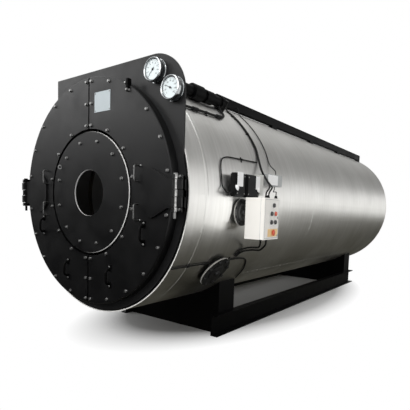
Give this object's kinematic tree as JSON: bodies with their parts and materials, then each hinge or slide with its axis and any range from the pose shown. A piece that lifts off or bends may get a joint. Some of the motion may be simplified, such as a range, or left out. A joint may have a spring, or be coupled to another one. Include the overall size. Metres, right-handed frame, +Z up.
{
  "type": "industrial boiler",
  "caption": "Horizontal fire-tube boiler in bright cladding on a channel base, with hinged half-ring smoke box doors, burner plate, gauges and control box.",
  "frame": {"origin": "centre of the four anchor bolts, on the floor", "axes": "+X to the right seen from the front, +Y from the doors to the rear, +Z up"},
  "size_m": [2.237, 5.9065, 2.2399],
  "materials": {
    "cladding": "brushed sheet",
    "frame_paint": "satin black paint",
    "front_paint": "satin black paint",
    "chrome": "polished",
    "dial": "white dial",
    "steel": "bright steel",
    "box_paint": "cream powder coat",
    "button": "moulded",
    "vessel": "dull heat-stained steel",
    "switch_black": "moulded",
    "grey_box": "grey enamel",
    "relay_paint": "pale enamel",
    "cable": "black sheath",
    "port_paint": "black paint"
  },
  "bodies": {
    "boiler": {"base_cross_front": "frame_paint", "base_cross_rear": "frame_paint", "base_rail_left": "frame_paint", "base_rail_right": "frame_paint", "boiler_body": "vessel", "burner_collar": "vessel", "burner_plate": "front_paint", "cladding_1": "cladding", "cladding_2": "cladding", "cladding_3": "cladding", "cladding_4": "cladding", "cladding_5": "cladding", "cladding_6": "cladding", "control_box": "box_paint", "control_box_stays": "vessel", "control_buttons": "button", "control_cables": "cable", "flue_outlet": "vessel", "front_plate": "front_paint", "front_saddle": "frame_paint", "gauge_conduit": "cable", "gauge_dials": "dial", "gauge_lower": "chrome", "gauge_upper": "chrome", "handhole": "port_paint", "hinge_bracket_left": "front_paint", "hinge_bracket_right": "front_paint", "hinge_pin_left": "steel", "hinge_pin_right": "steel", "inspection_port": "port_paint", "junction_box": "grey_box", "lower_cables": "cable", "pressure_switches": "switch_black", "rear_cover": "vessel", "rear_saddle": "frame_paint", "relay_case": "relay_paint", "smoke_box_wall": "vessel", "switch_tube": "cable", "top_beam": "frame_paint", "top_pipe": "frame_paint", "tube_plate": "vessel"},
    "left_door": {"left_bow_handles": "front_paint", "left_door": "front_paint", "left_hinge_strap": "front_paint", "left_steel_handles": "steel"},
    "right_door": {"right_bow_handles": "front_paint", "right_door": "front_paint", "right_hinge_strap": "front_paint", "right_steel_handles": "steel"}
  },
  "joints": [
    {"name": "right_door_hinge", "type": "hinge", "parent": "boiler", "child": "right_door", "pos_m": [0.925, -2.978, 1.27], "axis": [0, 0, 1], "range_deg": [0, 105]},
    {"name": "left_door_hinge", "type": "hinge", "parent": "boiler", "child": "left_door", "pos_m": [-0.925, -2.978, 1.27], "axis": [0, 0, -1], "range_deg": [0, 105]}
  ]
}
